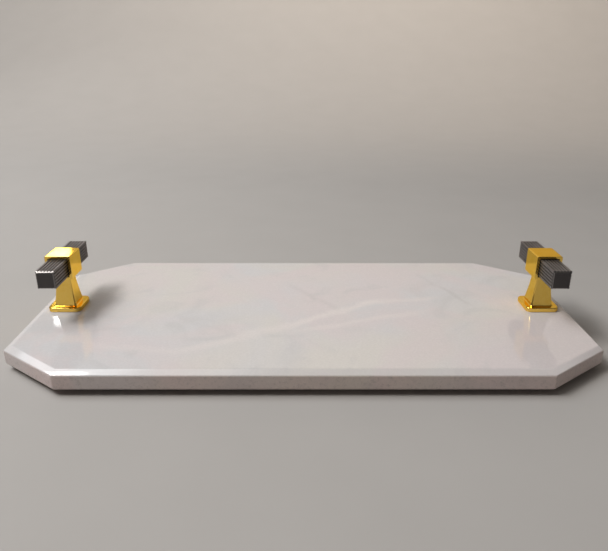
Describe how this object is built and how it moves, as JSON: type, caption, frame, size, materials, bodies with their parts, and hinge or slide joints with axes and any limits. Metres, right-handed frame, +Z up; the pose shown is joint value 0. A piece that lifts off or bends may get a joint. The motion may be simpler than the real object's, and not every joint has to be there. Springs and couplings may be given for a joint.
{
  "type": "vanity tray",
  "caption": "Polished marble vanity tray with cut corners, bevelled edge, and a gold post with a fluted square T-bar at each short end.",
  "frame": {"origin": "on the table under the middle of the slab, at the bumpers' treads", "axes": "+X along the tray's length, +Y across it towards the back, +Z up"},
  "size_m": [0.305, 0.152, 0.0461],
  "materials": {
    "marble": "polished",
    "polished_gold": "polished, gold plated",
    "gunmetal": "satin, dark nickel plated",
    "zinc_plate": "bright zinc plated",
    "black_oxide": "black oxide",
    "rubber": "matte"
  },
  "bodies": {
    "root": {"marble_slab": "marble", "left_handle_post": "polished_gold", "left_fluted_bar": "gunmetal", "left_bar_grub_screw": "black_oxide", "left_machine_screw": "zinc_plate", "left_screw_washer": "zinc_plate", "left_front_bumper": "rubber", "left_back_bumper": "rubber", "right_handle_post": "polished_gold", "right_fluted_bar": "gunmetal", "right_bar_grub_screw": "black_oxide", "right_machine_screw": "zinc_plate", "right_screw_washer": "zinc_plate", "right_front_bumper": "rubber", "right_back_bumper": "rubber"}
  },
  "joints": []
}
